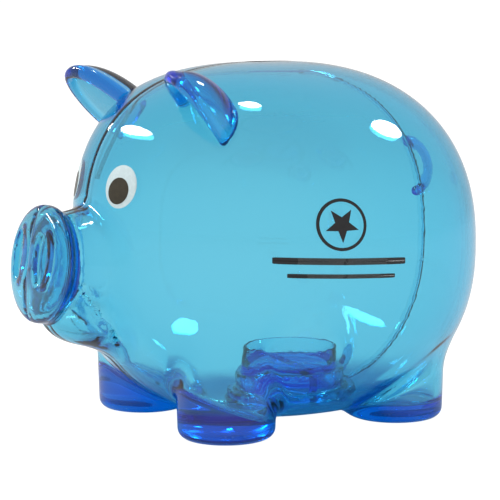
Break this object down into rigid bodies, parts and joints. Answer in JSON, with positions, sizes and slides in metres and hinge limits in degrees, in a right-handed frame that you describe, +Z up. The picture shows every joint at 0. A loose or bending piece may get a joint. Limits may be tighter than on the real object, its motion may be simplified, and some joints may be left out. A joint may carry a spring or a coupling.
{
  "type": "piggy bank",
  "caption": "Translucent pig-shaped coin bank in two glued halves, with a coin slot in the back, cupped ears, a curled tail and a pull-out belly stopper.",
  "frame": {"origin": "bottom centre of the bounding box, on the surface the feet stand on", "axes": "+Z up, -Y towards the snout, +X towards the pig's own left side"},
  "size_m": [0.104, 0.129, 0.0959],
  "materials": {
    "shell_blue": "clear tinted polystyrene, polished",
    "ear_blue": "clear tinted polystyrene, polished",
    "stopper_blue": "clear tinted soft plastic, polished",
    "eye_white_ink": "pad-printed ink",
    "pupil_ink": "pad-printed ink",
    "emblem_ink": "pad-printed ink"
  },
  "bodies": {
    "pig": {"left_shell": "shell_blue", "right_shell": "shell_blue", "left_ear": "ear_blue", "right_ear": "ear_blue", "tail": "ear_blue", "left_eye_white": "eye_white_ink", "right_eye_white": "eye_white_ink", "left_pupil": "pupil_ink", "right_pupil": "pupil_ink", "side_emblem": "emblem_ink"},
    "stopper": {"stopper": "stopper_blue"}
  },
  "joints": [
    {"name": "stopper_pull", "type": "slide", "parent": "pig", "child": "stopper", "axis": [0, 0, -1], "range_m": [0, 0.016]}
  ]
}
